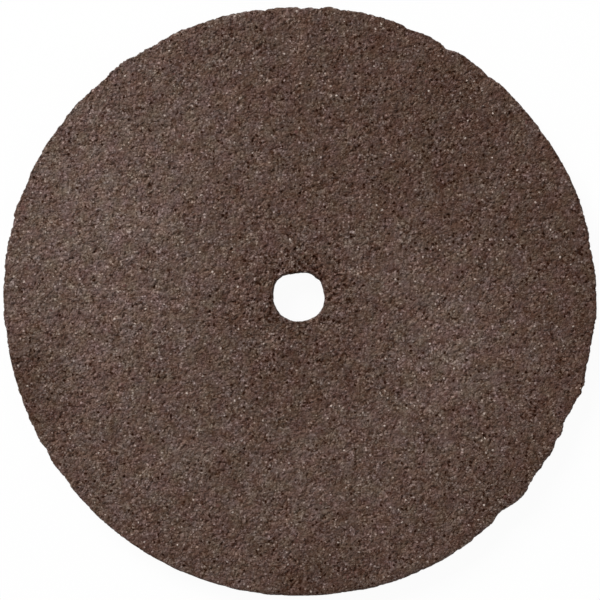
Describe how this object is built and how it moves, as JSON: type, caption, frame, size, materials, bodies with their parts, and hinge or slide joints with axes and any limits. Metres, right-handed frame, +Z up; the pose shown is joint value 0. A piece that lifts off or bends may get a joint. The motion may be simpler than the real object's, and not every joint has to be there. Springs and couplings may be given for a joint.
{
  "type": "cut-off wheel",
  "caption": "Thin flat disc of bonded brown abrasive grain with a small central arbor bore and a worn, chipped rim, used on a rotary tool to cut metal.",
  "frame": {"origin": "on the axis of the arbor bore, at the lower face of the wheel", "axes": "+Z up the arbor bore, square to both faces; +X to the right and +Y to the top of the picture, which looks straight down on the upper face"},
  "size_m": [0.024, 0.0238, 0.001],
  "materials": {
    "abrasive": "matte"
  },
  "bodies": {
    "root": {"wheel": "abrasive"}
  },
  "joints": []
}
